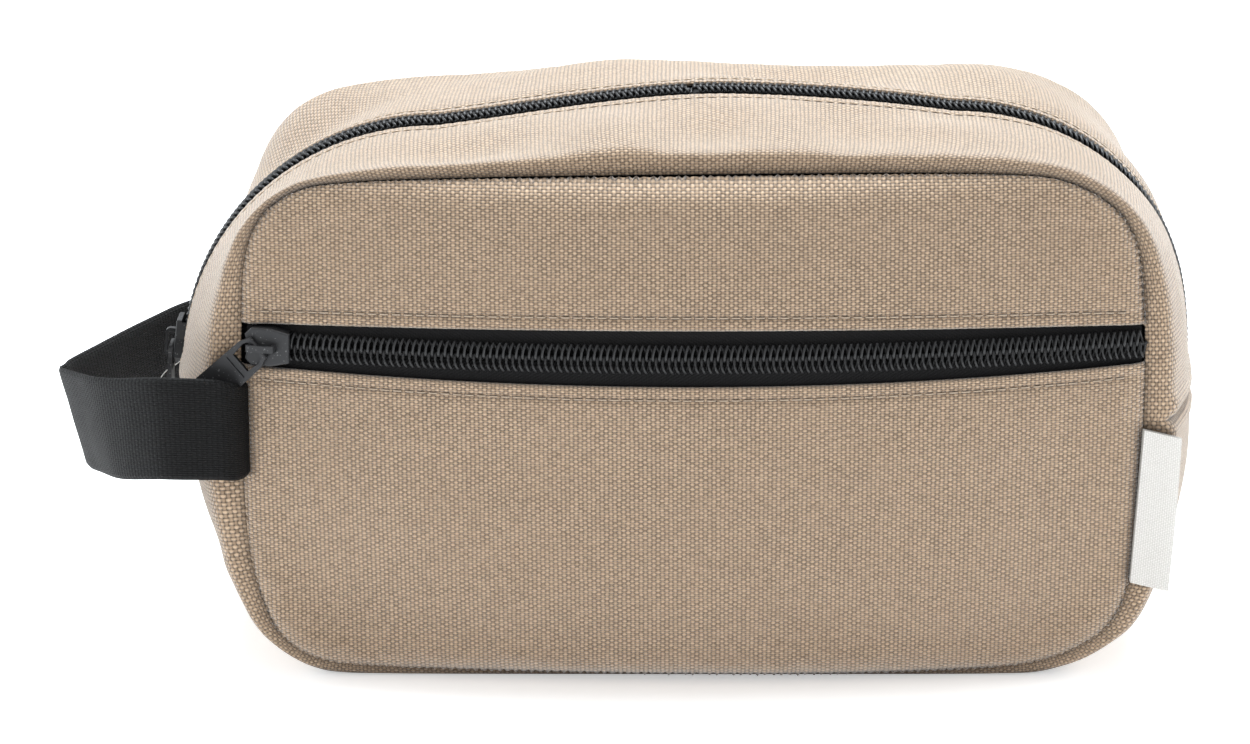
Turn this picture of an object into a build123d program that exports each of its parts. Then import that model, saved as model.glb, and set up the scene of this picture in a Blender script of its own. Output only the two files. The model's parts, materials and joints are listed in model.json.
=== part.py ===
"""Shaving kit bag: a box-shaped canvas toiletry bag with a zip round the top, a zipped front pocket,
a webbing carry loop on its left end and a folded label in its right front seam.

Frame: millimetres, origin on the floor under the bag's middle, +X along the bag, +Y from front to
back, +Z up. Each sewn or moulded piece is its own solid. A strip that bends when the mouth opens is
cut into the stretch that moves (the lip) and the stretches at the two ends that stay.
"""
from build123d import *
from math import asin, atan2, cos, degrees, hypot, pi, radians, sin, sqrt
import os

# ---- driving dimensions ----
HALF_DEPTH = 46.0        # from the bag's middle plane to the front or back seam
CANVAS = 1.2             # thickness of the outer fabric
GAP = 0.15               # room left between neighbouring pieces of fabric
SEAM_HALF, SEAM_TOP, SEAM_BOTTOM = 105.5, 122.0, 1.5    # the two seams' rounded rectangle
SEAM_TOP_R, SEAM_BOTTOM_R = 18.0, 28.0
BULGE_HALF = 124.0       # half the length at the middle plane, where the stuffed ends bulge most
BULGE_TOP, BULGE_BOTTOM = 130.0, -0.6
CROWN_R = 430.0          # the shallow arch of the top
CORNER_R = 62.0          # the round shoulder from the top down to each end
SIDE_R = 90.0            # the ends below the shoulder lean in on this arc
SIDE_DROP = 39.5         # height of that arc
FRONT_BULGE, BACK_BULGE = 13.0, 10.0    # how far each panel's middle stands out past its seam
PANEL_UPRIGHT_R = 260.0  # the panels' curve from top to bottom
PANEL_MID_Z = 62.0
JOIN_Z = 63.5            # the seam where the top strips meet the bottom strip, on both ends

ZIP_SLOT = 13.0          # width of tape seen between the two folded edges
ZIP_Z = 83.0             # height of the front zip's middle
TAPE = 0.6
TAPE_WIDTH, TAPE_DROP = 15.0, 1.4          # half the front tape's width, and its depth in the canvas
TOP_TAPE_WIDTH, TOP_TAPE_DROP = 10.5, 1.9
COIL_WIDTH, COIL_OUT = 2.7, 0.9            # a coil half's width, and how far it stands out of the canvas
COIL_CLEAR = 0.05        # between a coil and its tape
CHANNEL = 0.5            # half the gap between the coil halves, which the slider's post runs in

LIP_HALF = 58.0          # half the length of the top that opens
LIP_GAP = 0.3
SLIDER_LONG, SLIDER_WIDE, SLIDER_NARROW = 10.8, 9.0, 7.0
SLIDER_X = -98.8         # the front slider at rest, at the closed end
TOP_SLIDER_ANGLE = 6.5   # the top slider at rest, in degrees up the left shoulder's arc
PULL_LONG = 25.0         # from the pull's hinge to its tip
FRONT_PULL_TURN, TOP_PULL_TURN = 43.0, 0.0    # how far each pull hangs aside from its zip's line
STRAP_WIDE, STRAP = 23.0, 1.5
STRAP_TOP = 71.4
STRAP_DROOP = 9.0        # the loop's tilt, in degrees
STRAP_ROOT_X = -125.0    # between here and the seams the strap bends
LABEL_HIGH, LABEL_OUT, LABEL = 37.0, 10.2, 0.9
LABEL_X, LABEL_Y, LABEL_Z, LABEL_TURN = 106.4, -47.6, 25.0, 6.0    # the label's sewn edge, and its turn
FAR = 200.0              # further out than any piece reaches

os.makedirs("parts", exist_ok=True)


def save(name, *shapes):
    """Writes one node, made of one or more solids."""
    solids = [s for shape in shapes for s in shape.solids()]
    export_step(solids[0] if len(solids) == 1 else Compound(children=solids), f"parts/{name}.step")


def box(low, high):
    """A box from its lowest to its highest corner."""
    size = [h - l for l, h in zip(low, high)]
    return Pos(*[(l + h) / 2 for l, h in zip(low, high)]) * Box(*size)


# ---- outlines seen from the front: arcs and lines from the top middle round to the bottom middle ----
def arc_points(centre, radius, start, end, count):
    """Points on an arc, angles in degrees."""
    steps = [radians(start + (end - start) * i / count) for i in range(1, count + 1)]
    return [(centre[0] + radius * cos(a), centre[1] + radius * sin(a)) for a in steps]


def line_points(start, end, count):
    return [tuple(s + (e - s) * i / count for s, e in zip(start, end)) for i in range(1, count + 1)]


def even(points, count):
    """The same chain at even steps along its length, leaving out its first point."""
    lengths = [0.0]
    for a, b in zip(points, points[1:]):
        lengths.append(lengths[-1] + hypot(b[0] - a[0], b[1] - a[1]))
    out, k = [], 0
    for i in range(1, count + 1):
        want = lengths[-1] * i / count
        while k < len(lengths) - 2 and lengths[k + 1] < want:
            k += 1
        t = (want - lengths[k]) / (lengths[k + 1] - lengths[k])
        out.append(tuple(a + (b - a) * t for a, b in zip(points[k], points[k + 1])))
    return out


CORNER_X = BULGE_HALF - CORNER_R                              # centre of the shoulder arc
CORNER_Z = BULGE_TOP - CROWN_R + sqrt(CROWN_R**2 - CORNER_X**2) - CORNER_R
SIDE_TURN = degrees(asin(SIDE_DROP / SIDE_R))                 # how far the end leans in at its foot
FOOT_R = (CORNER_Z - SIDE_DROP - BULGE_BOTTOM) / (1 - sin(radians(SIDE_TURN)))
FOOT_X = BULGE_HALF - SIDE_R + (SIDE_R - FOOT_R) * cos(radians(SIDE_TURN))
STEPS = (4, 10, 4, 5, 4)      # points on each stretch of an outline
FINE = 40                     # points on a stretch before it is cut to even steps


def middle_stretches():
    """The outline at the middle plane: crown, shoulder, side, foot and base."""
    crown_centre = (0.0, BULGE_TOP - CROWN_R)
    crown_end = degrees(atan2(CORNER_Z + CORNER_R - crown_centre[1], CORNER_X))
    return [
        arc_points(crown_centre, CROWN_R, 90, crown_end, FINE),
        arc_points((CORNER_X, CORNER_Z), CORNER_R, 90, 0, FINE),
        arc_points((BULGE_HALF - SIDE_R, CORNER_Z), SIDE_R, 0, -SIDE_TURN, FINE),
        arc_points((FOOT_X, BULGE_BOTTOM + FOOT_R), FOOT_R, -SIDE_TURN, -90, FINE),
        line_points((FOOT_X, BULGE_BOTTOM), (0, BULGE_BOTTOM), FINE),
    ]


def seam_stretches():
    """The seam's rounded rectangle, cut into the same five stretches."""
    top_corner = (SEAM_HALF - SEAM_TOP_R, SEAM_TOP - SEAM_TOP_R)
    low_corner = (SEAM_HALF - SEAM_BOTTOM_R, SEAM_BOTTOM + SEAM_BOTTOM_R)
    part_way = -9             # degrees down the foot's arc, where the side ends
    return [
        line_points((0, SEAM_TOP), (LIP_HALF, SEAM_TOP), FINE),
        line_points((LIP_HALF, SEAM_TOP), (top_corner[0], SEAM_TOP), FINE)
        + arc_points(top_corner, SEAM_TOP_R, 90, 0, FINE)
        + line_points((SEAM_HALF, top_corner[1]), (SEAM_HALF, CORNER_Z), FINE),
        line_points((SEAM_HALF, CORNER_Z), (SEAM_HALF, low_corner[1]), FINE)
        + arc_points(low_corner, SEAM_BOTTOM_R, 0, part_way, FINE),
        arc_points(low_corner, SEAM_BOTTOM_R, part_way, -90, FINE),
        line_points((low_corner[0], SEAM_BOTTOM), (0, SEAM_BOTTOM), FINE),
    ]


def moved_in(points, inset):
    """A closed chain of points, each moved in square to its neighbours' direction."""
    out = []
    for i, (x, z) in enumerate(points):
        before, after = points[i - 1], points[(i + 1) % len(points)]
        dx, dz = after[0] - before[0], after[1] - before[1]
        length = hypot(dx, dz)
        out.append((x + inset * dz / length, z - inset * dx / length))
    return out


def outline(share, inset):
    """A closed outline, share of the way from the seam (0) to the middle plane (1), moved in by inset."""
    seam_end, middle_end = (0.0, SEAM_TOP), (0.0, BULGE_TOP)
    points = [(0.0, (1 - share) * SEAM_TOP + share * BULGE_TOP)]
    for s, m, count in zip(seam_stretches(), middle_stretches(), STEPS):
        pairs = zip(even([seam_end, *s], count), even([middle_end, *m], count))
        points += [tuple((1 - share) * a + share * b for a, b in zip(p, q)) for p, q in pairs]
        seam_end, middle_end = s[-1], m[-1]
    left = [(-x, z) for x, z in points[-2:0:-1]]
    return moved_in(points + left, inset)


def outline_face(share, inset, y):
    """That outline as a flat face at one depth."""
    points = [Vector(x, y, z) for x, z in outline(share, inset)]
    return Face(Wire([Edge.make_spline(points, periodic=True)]))


def prism(inset, low_y, high_y):
    """The seam's outline, moved in, pushed through from low_y to high_y."""
    return extrude(outline_face(0, inset, low_y), high_y - low_y, dir=(0, 1, 0))


def core(inset, half_depth=HALF_DEPTH):
    """The stuffed bag as one solid, moved in by inset, swelling from the seam on a quarter ellipse."""
    stations = (-1.0, -0.93, -0.82, -0.6, -0.3, 0.0, 0.3, 0.6, 0.82, 0.93, 1.0)
    faces = [outline_face(sqrt(1 - t * t), inset, t * half_depth) for t in stations]
    return loft(faces)


# ---- the strips round the bag ----
ABOVE_FLOOR = box((-FAR, -FAR, 0), (FAR, FAR, FAR))
BELOW_JOIN = box((-FAR, -FAR, 0), (FAR, FAR, JOIN_Z - GAP))
ABOVE_JOIN = box((-FAR, -FAR, JOIN_Z + GAP), (FAR, FAR, FAR))
shell = (core(0) - core(CANVAS)) & ABOVE_FLOOR
save("bottom_gusset", shell & BELOW_JOIN)

FRONT_HALF = box((-FAR, -FAR, JOIN_Z + GAP), (FAR, -ZIP_SLOT / 2, FAR))
BACK_HALF = box((-FAR, ZIP_SLOT / 2, JOIN_Z + GAP), (FAR, FAR, FAR))
LIP_BOX = box((-LIP_HALF, -FAR, CORNER_Z), (LIP_HALF, FAR, FAR))
ENDS_CUT = box((-LIP_HALF - LIP_GAP, -FAR, CORNER_Z + LIP_GAP), (LIP_HALF + LIP_GAP, FAR, FAR))
for side, half in (("front", FRONT_HALF), ("back", BACK_HALF)):
    strip = shell & half
    save(f"top_gusset_{side}", strip & LIP_BOX)
    save(f"top_gusset_{side}_ends", strip - ENDS_CUT)


# ---- the top zip, bent along the middle outline ----
def arch(inset, low_y, high_y):
    """The space under the middle outline's top and shoulders, moved in, from low_y to high_y."""
    reach = CORNER_R - inset
    crown = BULGE_TOP - inset
    shoulder_top = (CORNER_X, CORNER_Z + reach)
    mid = (CORNER_X + reach * cos(pi / 4), CORNER_Z + reach * sin(pi / 4))
    left_top, left_mid = (-shoulder_top[0], shoulder_top[1]), (-mid[0], mid[1])
    with BuildSketch(Plane.XZ.offset(-low_y)) as sketch:
        with BuildLine():
            ThreePointArc(left_top, (0, crown), shoulder_top)
            ThreePointArc(shoulder_top, mid, (CORNER_X + reach, CORNER_Z))
            Line((CORNER_X + reach, CORNER_Z), (-CORNER_X - reach, CORNER_Z))
            ThreePointArc((-CORNER_X - reach, CORNER_Z), left_mid, left_top)
        make_face()
    return extrude(sketch.sketch, high_y - low_y, dir=(0, 1, 0))


def arch_band(outer, inner, low_y, high_y):
    """A band of zip between two insets, ending at the join with the bottom strip."""
    ring = arch(outer, low_y, high_y) - arch(inner, low_y - 1, high_y + 1)
    return ring & ABOVE_JOIN


for side, sign in (("front", -1), ("back", 1)):
    spans = {
        "tape": (TOP_TAPE_DROP, TOP_TAPE_DROP + TAPE, CHANNEL, TOP_TAPE_WIDTH),
        "coil": (-COIL_OUT, TOP_TAPE_DROP - COIL_CLEAR, CHANNEL, CHANNEL + COIL_WIDTH),
    }
    for piece, (outer, inner, near, far) in spans.items():
        low, high = sorted((sign * near, sign * far))
        strip = arch_band(outer, inner, low, high)
        save(f"top_zip_{piece}_{side}", strip & LIP_BOX)
        save(f"top_zip_{piece}_{side}_ends", strip - ENDS_CUT)


# ---- the front and back panels: domes turned about an upright axis, so the zip's path is a true arc ----
DOME_REACH = 75.0        # half the height of the profile that is turned
DOME_ARC = 40            # degrees that it is turned through


def bulge_radius(bulge):
    return (SEAM_HALF**2 + bulge**2) / (2 * bulge)


def dome(bulge, inset):
    """Everything behind a front panel's surface, moved in, as far as the bag's middle."""
    radius, face_y = bulge_radius(bulge), -HALF_DEPTH - bulge
    lean = PANEL_UPRIGHT_R - inset
    sag = lean - sqrt(lean**2 - DOME_REACH**2)
    top = (face_y + inset + sag, PANEL_MID_Z + DOME_REACH)
    low = (face_y + inset + sag, PANEL_MID_Z - DOME_REACH)
    with BuildSketch(Plane.YZ) as sketch:
        with BuildLine():
            ThreePointArc(low, (face_y + inset, PANEL_MID_Z), top)
            Polyline(top, (0, top[1]), (0, low[1]), low)
        make_face()
    axis_y = face_y + radius
    turned = revolve(sketch.sketch, Axis((0, axis_y, 0), (0, 0, 1)), DOME_ARC)
    return Pos(0, axis_y, 0) * Rot(0, 0, -DOME_ARC / 2) * Pos(0, -axis_y, 0) * turned


PANEL_INSET = CANVAS + GAP
RIM_Y = 42.0             # each panel's rim reaches this far in, inside the strips
FRONT_Y = -90.0          # further forward than the panels reach
inside_strips = core(PANEL_INSET) & box((-FAR, -HALF_DEPTH, -FAR), (FAR, -RIM_Y, FAR))
panel_room = prism(PANEL_INSET, FRONT_Y, -HALF_DEPTH) + inside_strips


def panel(bulge):
    """A domed panel with a rim that turns in along its seam, facing the front."""
    skin = dome(bulge, 0) - dome(bulge, CANVAS)
    inner = prism(PANEL_INSET + CANVAS, FRONT_Y - 1, 0)
    rim = dome(bulge, 0) & (prism(PANEL_INSET, FRONT_Y, -RIM_Y) - inner)
    return (skin & panel_room) + (rim & panel_room)


front = panel(FRONT_BULGE)
slot_low, slot_high = ZIP_Z - ZIP_SLOT / 2, ZIP_Z + ZIP_SLOT / 2
save("front_panel_lower", front & box((-FAR, -FAR, -FAR), (FAR, 0, slot_low)))
save("front_panel_upper", front & box((-FAR, -FAR, slot_high), (FAR, 0, FAR)))
save("back_panel", panel(BACK_BULGE).mirror(Plane.XZ))


# ---- the front zip ----
ZIP_REACH = 2 * PANEL_INSET + CANVAS     # the tape and coil stop inside the panel's rim


def dome_band(outer, inner, low_z, high_z):
    """A band between two insets of the front dome, as long as the pocket's mouth."""
    skin = dome(FRONT_BULGE, outer) - dome(FRONT_BULGE, inner)
    return skin & prism(ZIP_REACH, FRONT_Y, -RIM_Y / 2) & box((-FAR, -FAR, low_z), (FAR, 0, high_z))


for name, sign in (("upper", 1), ("lower", -1)):
    low, high = sorted((ZIP_Z + sign * CHANNEL, ZIP_Z + sign * TAPE_WIDTH))
    save(f"front_zip_tape_{name}", dome_band(TAPE_DROP, TAPE_DROP + TAPE, low, high))
    low, high = sorted((ZIP_Z + sign * CHANNEL, ZIP_Z + sign * (CHANNEL + COIL_WIDTH)))
    save(f"front_zip_coil_{name}", dome_band(-COIL_OUT, TAPE_DROP - COIL_CLEAR, low, high))

# ---- the pocket's back wall and the lining ----
WALL_Y, WALL_INSET, WALL_TOP, LINING = -39.5, 5.2, 116.0, 0.5
wall = prism(WALL_INSET, WALL_Y, WALL_Y + LINING)
save("pocket_wall", wall & box((-FAR, -FAR, 0), (FAR, FAR, WALL_TOP)))
LINING_INSET, LINING_DEPTH, LINING_TOP = 5.0, 38.5, 104.0
tub = core(LINING_INSET, LINING_DEPTH) - core(LINING_INSET + LINING, LINING_DEPTH - LINING)
save("main_lining", tub & box((-FAR, -FAR, 0), (FAR, FAR, LINING_TOP)))

# ---- the zip slider and its pull, about a point on the zip: +X along the zip, +Z away from the bag ----
PLATE_LOW, PLATE_TOP = 1.15, 2.4         # the slider's upper plate
LOWER_PLATE, LOWER_CLEAR = 1.1, 0.5      # the lower plate's thickness, and its gap under the tape
FLANGE_CLEAR, SLIDER_NOSE, SLIDER_SHOULDER_X = 0.3, 1.6, 1.0
POST_START, POST_END, POST_CLEAR = 1.2, 4.6, 0.15        # the post, measured from the slider's end
BRIDGE_START, BRIDGE_END, BRIDGE_WIDE, BRIDGE_LEG = -4.6, 2.4, 1.6, 0.9
BRIDGE_IN, BRIDGE_OUT, BRIDGE_R = 4.25, 5.0, 1.2         # the arch's two faces and its corners
LOCK_START, LOCK_END, LOCK_HALF, LOCK_CLEAR = 0.7, 1.2, 0.4, 0.05
HINGE_X, HINGE_Z, PIN_R = -1.9, 3.3, 0.6
PULL_TILT = 2.5          # the pull's tip leans in towards the bag
EYE_HALF, EYE_WALL, EYE_END, EYE_CORNER_X = 2.95, 1.0, 5.6, 2.0
PULL_TIP_HALF, PULL_THICK, PULL_TIP_R, PULL_SHOULDER = 4.4, 1.0, 2.0, 0.9
GROOVE_IN, GROOVE_WIDE, GROOVE_HALF, GROOVE_DEEP = 1.3, 0.45, 3.1, 0.35


def slider_body(drop):
    """Two plates joined by a post between the coil halves, with flanges that hold the coil in."""
    half_long, wide, narrow = SLIDER_LONG / 2, SLIDER_WIDE / 2, SLIDER_NARROW / 2
    nose = SLIDER_NOSE
    with BuildSketch() as plan:
        with BuildLine():
            Polyline(
                (half_long, -narrow), (half_long, narrow), (SLIDER_SHOULDER_X, wide),
                (-half_long + nose, wide), (-half_long, wide - nose), (-half_long + nose / 2, 0),
                (-half_long, nose - wide), (-half_long + nose, -wide), (SLIDER_SHOULDER_X, -wide),
                (half_long, -narrow),
            )
        make_face()
    upper = Pos(0, 0, PLATE_LOW) * extrude(plan.sketch, PLATE_TOP - PLATE_LOW)
    low_top = -drop - TAPE - LOWER_CLEAR
    lower = Pos(0, 0, low_top - LOWER_PLATE) * extrude(plan.sketch, LOWER_PLATE)
    flange_low = FLANGE_CLEAR - drop
    channel_half = narrow + 0.1
    channel = box((-FAR, -channel_half, -FAR), (FAR, channel_half, FAR))
    flange = Pos(0, 0, flange_low) * extrude(plan.sketch, PLATE_LOW - flange_low) - channel
    post_half = CHANNEL - POST_CLEAR
    post = box((POST_START - half_long, -post_half, low_top), (POST_END - half_long, post_half, PLATE_LOW))
    body = upper + lower + flange + post
    rim = body.edges().filter_by_position(Axis.Z, PLATE_TOP - 0.01, PLATE_TOP + 0.01)
    return fillet(rim, 0.5)


def slider_bridge():
    """The arch that the pull hangs in."""
    half = BRIDGE_WIDE / 2
    block = box((BRIDGE_START, -half, PLATE_TOP), (BRIDGE_END, half, BRIDGE_OUT))
    hollow = box((BRIDGE_START + BRIDGE_LEG, -2 * half, 0), (BRIDGE_END - BRIDGE_LEG, 2 * half, BRIDGE_IN))
    shaped = fillet(block.edges().filter_by(Axis.Y).group_by(Axis.Z)[-1], BRIDGE_R)
    return shaped - hollow


def slider_lock():
    """The spring prong under the bridge that holds the slider still."""
    low, high = PLATE_TOP + LOCK_CLEAR, BRIDGE_IN - LOCK_CLEAR
    return box((LOCK_START, -LOCK_HALF, low), (LOCK_END, LOCK_HALF, high))


def pull_tab(turn):
    """A flat tab with a three-cornered eye, whose round end bar turns under the bridge."""
    side, corner = EYE_HALF + EYE_WALL, EYE_CORNER_X
    eye_start = PIN_R + 0.05
    root = side - PULL_SHOULDER
    with BuildSketch() as plan:
        with BuildLine():
            Polyline(
                (0, -root), (0, root), (corner + 0.2, side), (PULL_LONG, PULL_TIP_HALF),
                (PULL_LONG, -PULL_TIP_HALF), (corner + 0.2, -side), (0, -root),
            )
        make_face()
        fillet(plan.vertices().group_by(Axis.X)[-1], PULL_TIP_R)
        with BuildLine():
            Polyline(
                (eye_start, 0.5 - EYE_HALF), (eye_start, EYE_HALF - 0.5), (corner, EYE_HALF),
                (EYE_END, EYE_HALF - 0.4), (EYE_END, 0.4 - EYE_HALF), (corner, -EYE_HALF),
                (eye_start, 0.5 - EYE_HALF),
            )
        make_face(mode=Mode.SUBTRACT)
    plate = Pos(0, 0, -PULL_THICK / 2) * extrude(plan.sketch, PULL_THICK)
    groove_start = EYE_END + GROOVE_IN
    groove_low = (groove_start, -GROOVE_HALF, PULL_THICK / 2 - GROOVE_DEEP)
    groove = box(groove_low, (groove_start + GROOVE_WIDE, GROOVE_HALF, PULL_THICK))
    bar = Rot(90, 0, 0) * Cylinder(PIN_R, 2 * root)
    tilted = Rot(0, PULL_TILT, 0) * (plate + bar - groove)
    return Pos(HINGE_X, 0, HINGE_Z) * Rot(0, 0, 180 + turn) * tilted


def save_slider(name, place, drop, turn):
    save(f"{name}_slider_body", place * slider_body(drop))
    save(f"{name}_slider_bridge", place * slider_bridge())
    save(f"{name}_slider_lock", place * slider_lock())
    save(f"{name}_pull_tab", place * pull_tab(turn))


zip_axis_y = -HALF_DEPTH - FRONT_BULGE + bulge_radius(FRONT_BULGE)
lean_back = asin((ZIP_Z - PANEL_MID_Z) / PANEL_UPRIGHT_R)
zip_radius = bulge_radius(FRONT_BULGE) - PANEL_UPRIGHT_R * (1 - cos(lean_back))
turn = asin(SLIDER_X / zip_radius)
front_place = Plane(
    origin=(SLIDER_X, zip_axis_y - zip_radius * cos(turn), ZIP_Z),
    x_dir=(cos(turn), sin(turn), 0),
    z_dir=(sin(turn) * cos(lean_back), -cos(turn) * cos(lean_back), sin(lean_back)),
)
save_slider("front", front_place.location, TAPE_DROP, FRONT_PULL_TURN)

lift = radians(TOP_SLIDER_ANGLE)
top_place = Plane(
    origin=(-CORNER_X - CORNER_R * cos(lift), 0, CORNER_Z + CORNER_R * sin(lift)),
    x_dir=(sin(lift), 0, cos(lift)),
    z_dir=(-cos(lift), 0, sin(lift)),
)
save_slider("top", top_place.location, TOP_TAPE_DROP, TOP_PULL_TURN)

# ---- the carry loop: a strap on edge, sewn into the front and back seams at the left end ----
STRAP_FOOT_X = -106.3
front_leg = [(STRAP_FOOT_X, -46.9), (STRAP_FOOT_X, -50.0), (-108.2, -52.6), (-113.0, -53.6)]
far_end = [(-125.0, -51.5), (-143.0, -38.5), (-152.5, -18.0), (-154.8, 0), (-152.5, 17.5), (-143.0, 37.0)]
back_leg = [(-125.0, 49.8), (-112.5, 51.2), (-107.8, 49.4), (STRAP_FOOT_X, 46.9)]
with BuildSketch() as strap_plan:
    with BuildLine():
        curve = Spline(front_leg + far_end + back_leg)
    trace(curve, STRAP)
strap_low = Pos(STRAP_FOOT_X, 0, STRAP_TOP - STRAP_WIDE) * Rot(0, -STRAP_DROOP, 0) * Pos(-STRAP_FOOT_X, 0, 0)
strap = extrude(strap_low * strap_plan.sketch, STRAP_WIDE, dir=(0, 0, 1))
roots_box = box((STRAP_ROOT_X, -FAR, 0), (0, FAR, FAR))
loop_box = box((-FAR, -FAR, 0), (STRAP_ROOT_X - 0.1, FAR, FAR))
save("handle_strap", strap & loop_box)
save("handle_strap_ends", strap & roots_box)

# ---- the label ----
label_sheet = box((0, -LABEL / 2, 0), (LABEL_OUT, LABEL / 2, LABEL_HIGH))
label = Pos(LABEL_X, LABEL_Y, LABEL_Z) * Rot(0, 0, LABEL_TURN) * label_sheet
save("side_label", fillet(label.edges().filter_by(Axis.Z), 0.3))
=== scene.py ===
"""The looks of the shaving kit bag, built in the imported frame's own metres.

The cloth is a set of curved sheets over two closed outlines: the seam's, at the front and the back, and the
stuffed outline at the middle. Sizes below are millimetres; points become metres when a mesh is made.
"""

import json
import math

import bpy
import numpy as np
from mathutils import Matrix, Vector, noise


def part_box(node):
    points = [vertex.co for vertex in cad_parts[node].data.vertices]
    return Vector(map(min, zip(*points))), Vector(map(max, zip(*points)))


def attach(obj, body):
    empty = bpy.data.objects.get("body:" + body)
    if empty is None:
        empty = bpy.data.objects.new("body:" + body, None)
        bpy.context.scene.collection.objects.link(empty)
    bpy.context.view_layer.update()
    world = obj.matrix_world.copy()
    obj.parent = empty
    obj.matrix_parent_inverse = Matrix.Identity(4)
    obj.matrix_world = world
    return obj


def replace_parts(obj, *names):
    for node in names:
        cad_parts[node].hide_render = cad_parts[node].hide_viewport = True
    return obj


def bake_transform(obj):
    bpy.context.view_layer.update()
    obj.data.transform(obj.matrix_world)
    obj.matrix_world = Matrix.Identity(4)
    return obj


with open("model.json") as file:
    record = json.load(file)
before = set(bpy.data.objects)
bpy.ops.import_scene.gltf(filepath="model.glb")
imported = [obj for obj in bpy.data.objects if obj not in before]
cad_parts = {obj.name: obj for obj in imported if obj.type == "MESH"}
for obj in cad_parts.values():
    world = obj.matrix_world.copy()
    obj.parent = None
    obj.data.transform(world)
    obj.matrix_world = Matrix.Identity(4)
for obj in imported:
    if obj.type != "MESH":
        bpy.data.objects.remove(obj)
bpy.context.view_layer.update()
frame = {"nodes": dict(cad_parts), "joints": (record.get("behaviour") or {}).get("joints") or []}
MM = 0.001

# ---- sizes taken from the frame ----
joints = {j["name"]: j for j in frame["joints"]}
gusset_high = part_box("bottom_gusset")[1]
HALF_DEPTH = gusset_high.y / MM                          # the seams lie this far from the middle plane
BULGE_HALF = gusset_high.x / MM                          # half the length at the middle plane
BULGE_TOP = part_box("top_gusset_front")[1].z / MM         # height of the crown
JOIN_Z = gusset_high.z / MM + 0.15                       # the seam between the top and bottom strips
front_axis_y = joints["front_slider_travel"]["pos_m"][1] / MM
shoulder_x = -joints["top_slider_travel"]["pos_m"][0] / MM
shoulder_z = joints["top_slider_travel"]["pos_m"][2] / MM
FRONT_MID_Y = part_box("front_panel_lower")[0].y / MM      # the front panel's furthest point
BACK_MID_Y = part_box("back_panel")[1].y / MM
coil_low, coil_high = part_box("front_zip_coil_lower")[0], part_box("front_zip_coil_upper")[1]
ZIP_Z = (coil_low.z + coil_high.z) / 2 / MM              # height of the front zip's middle
ZIP_REACH = coil_high.x / MM
LIP_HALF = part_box("top_gusset_front")[1].x / MM          # half the length of the mouth's straight part

SHOULDER_R = BULGE_HALF - shoulder_x
PANEL_HALF, PANEL_UPRIGHT_R, PANEL_MID_Z = 105.5, 260.0, 62.0
DOME_SOFT = 2.2                                          # rounds off the line where a panel's dome would end
BAG_MIDDLE = (0.0, 0.0, PANEL_MID_Z)
CROWN_LIFT = 3.6                                         # the crown is higher right of the slider's path
RIGHT_SLACK = 4.6                                        # the right end is a little less full than the left
RIGHT_FOOT = 1.8                                         # and its lower corner a little fuller
SWELL = 3.6                                              # how far the strips stand out beside their seams
SEAM_DIP = 2.0                                           # how far the seams are sunk into the cloth
JOIN_DIP, JOIN_LIP = 1.5, 0.8                            # the same at the bag's ends, and the lip beside it

CANVAS = 0.42                                            # a folded edge is two of these and the air between
TAPE, LINING, LABEL = 0.5, 0.4, 0.35                     # thickness of the other cloths
HEM_R, HEM_REACH = 0.62, 3.5                             # the roll of a folded edge and its hidden part
SLOT_HALF = 6.6                                          # half the gap between the top strips
STITCH, STITCH_R, STITCH_INSET = 2.8, 0.17, 2.5          # length, radius and distance from the folded edge
STITCH_PULL, STITCH_WAVE = 0.34, 0.07                    # how stitches draw the cloth in and wave its edge
THREAD_R = 0.13
SEAM_SHADE_REACH = 3.0                                            # painted shade: cloth colour darkens where other cloth is this near
FAR = 1e6


# ---- small helpers ----
def gauss(value, centre, width):
    return np.exp(-(((value - centre) / width) ** 2))


def smooth(value, low, high):
    """0 below low, 1 above high, eased between."""
    t = np.clip((value - low) / (high - low), 0, 1)
    return t * t * (3 - 2 * t)


def fbm(x, y, z, size, seed=0.0, octaves=2):
    """Smooth noise over arrays of millimetre points, about -1 to 1."""
    places = zip(np.ravel(x) / size + seed, np.ravel(y) / size, np.ravel(z) / size)
    out = [noise.fractal(Vector(place), 1.0, 2.0, octaves) for place in places]
    return np.array(out).reshape(np.shape(x))


def lengths_along(points):
    """The distance along a chain at each of its points."""
    return np.concatenate([[0], np.cumsum(np.linalg.norm(np.diff(points, axis=0), axis=1))])


def points_at(at, length, points):
    """Points of a chain at the given distances along it."""
    return np.column_stack([np.interp(at, length, points[:, k]) for k in range(points.shape[1])])


def close(points):
    return np.vstack([points, points[:1]])


def resample(points, count):
    """A closed chain as count points at even steps."""
    closed = close(points)
    length = lengths_along(closed)
    return points_at(np.linspace(0, length[-1], count, endpoint=False), length, closed)


def soften(ring, reach=30, width=11.0):
    """A closed chain of values, each blended with its neighbours."""
    kernel = gauss(np.arange(-reach, reach + 1), 0, width)
    return np.convolve(np.concatenate([ring[-reach:], ring, ring[:reach]]), kernel / kernel.sum(), "valid")


def smooth_span(before, start, end, after, steps):
    """Points of a Catmull-Rom curve from start up to end."""
    t = np.linspace(0, 1, steps, endpoint=False)[:, None]
    a = 2 * start + (end - before) * t
    b = (2 * before - 5 * start + 4 * end - after) * t**2
    c = (3 * start - before - 3 * end + after) * t**3
    return (a + b + c) / 2


def closed_curve(points, steps=24):
    """A closed smooth curve through the points."""
    p = np.array(points, float)
    spans = zip(np.roll(p, 1, 0), p, np.roll(p, -1, 0), np.roll(p, -2, 0))
    return np.vstack([smooth_span(*four, steps) for four in spans])


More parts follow.
